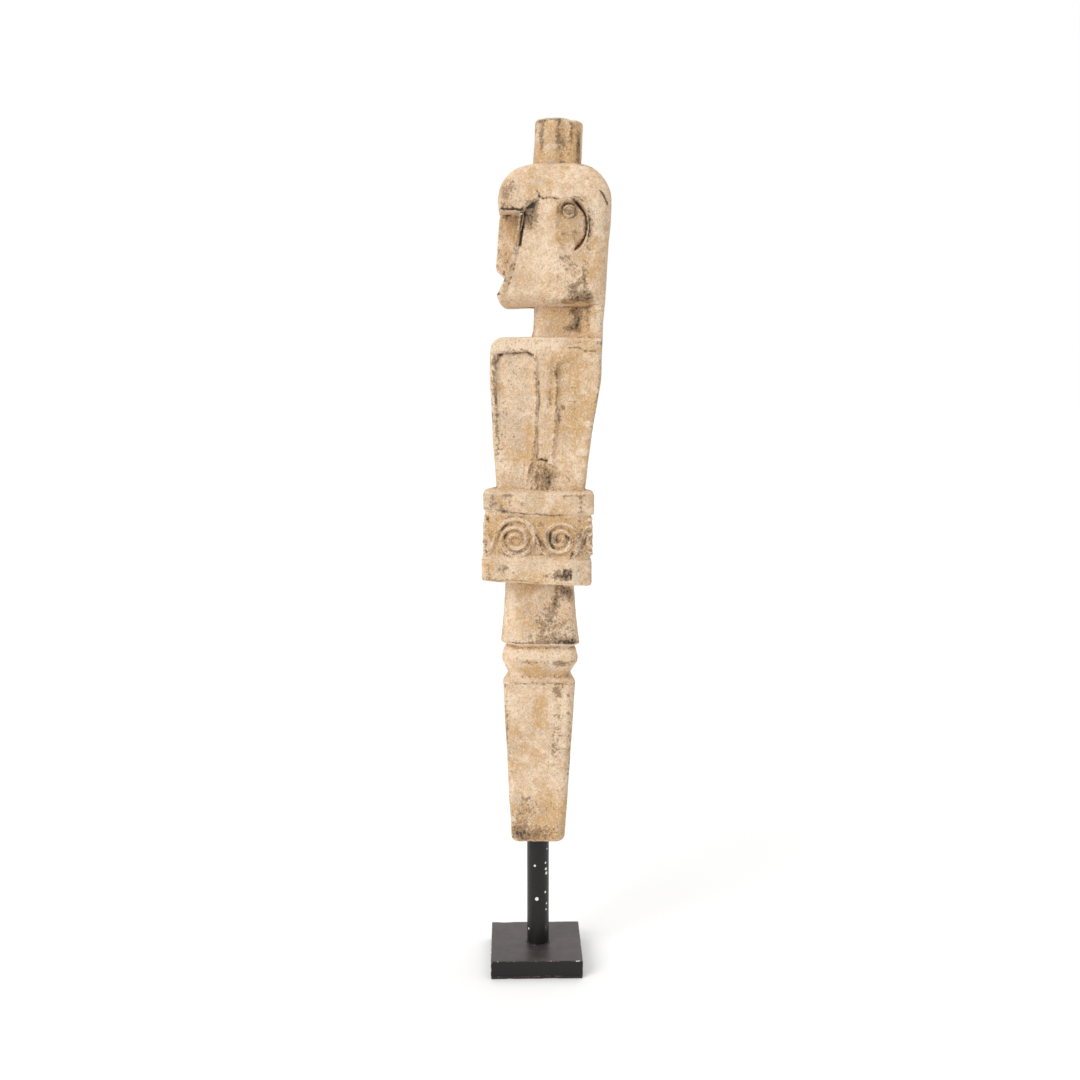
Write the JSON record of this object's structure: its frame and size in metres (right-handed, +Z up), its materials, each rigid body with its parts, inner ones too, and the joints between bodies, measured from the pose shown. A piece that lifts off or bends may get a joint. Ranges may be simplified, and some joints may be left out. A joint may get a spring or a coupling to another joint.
{
  "type": "carved figure on a stand",
  "caption": "Tall narrow carved wooden standing figure with a scroll belt and tapered peg foot, turning on a round black post set in a square base block.",
  "frame": {"origin": "on the underside, on the axis of the round post that the figure turns about", "axes": "+Z up along the post; the figure faces -Y and its left side is +X"},
  "size_m": [0.106, 0.1207, 0.8186],
  "materials": {
    "limewashed_wood": "old carved wood with a cream lime wash, ochre stains and dark grey dirt in the hollows",
    "black_post_paint": "satin black paint on a round wooden dowel, chipped to bare wood",
    "black_block_paint": "satin black paint on a wooden block, worn along the edges",
    "underlay": "thin dull black sheet with a brown glue seam",
    "screw_steel": "zinc-plated steel",
    "painted_glue": "hard glue bead under black paint"
  },
  "bodies": {
    "stand": {"base_block": "black_block_paint", "base_underlay": "underlay", "stand_post": "black_post_paint", "post_screw": "screw_steel", "foot_glue": "painted_glue"},
    "figure": {"carved_figure": "limewashed_wood"}
  },
  "joints": [
    {"name": "figure_turn", "type": "hinge", "parent": "stand", "child": "figure", "pos_m": [0, 0, 0.1915], "axis": [0, 0, 1], "continuous": true}
  ]
}
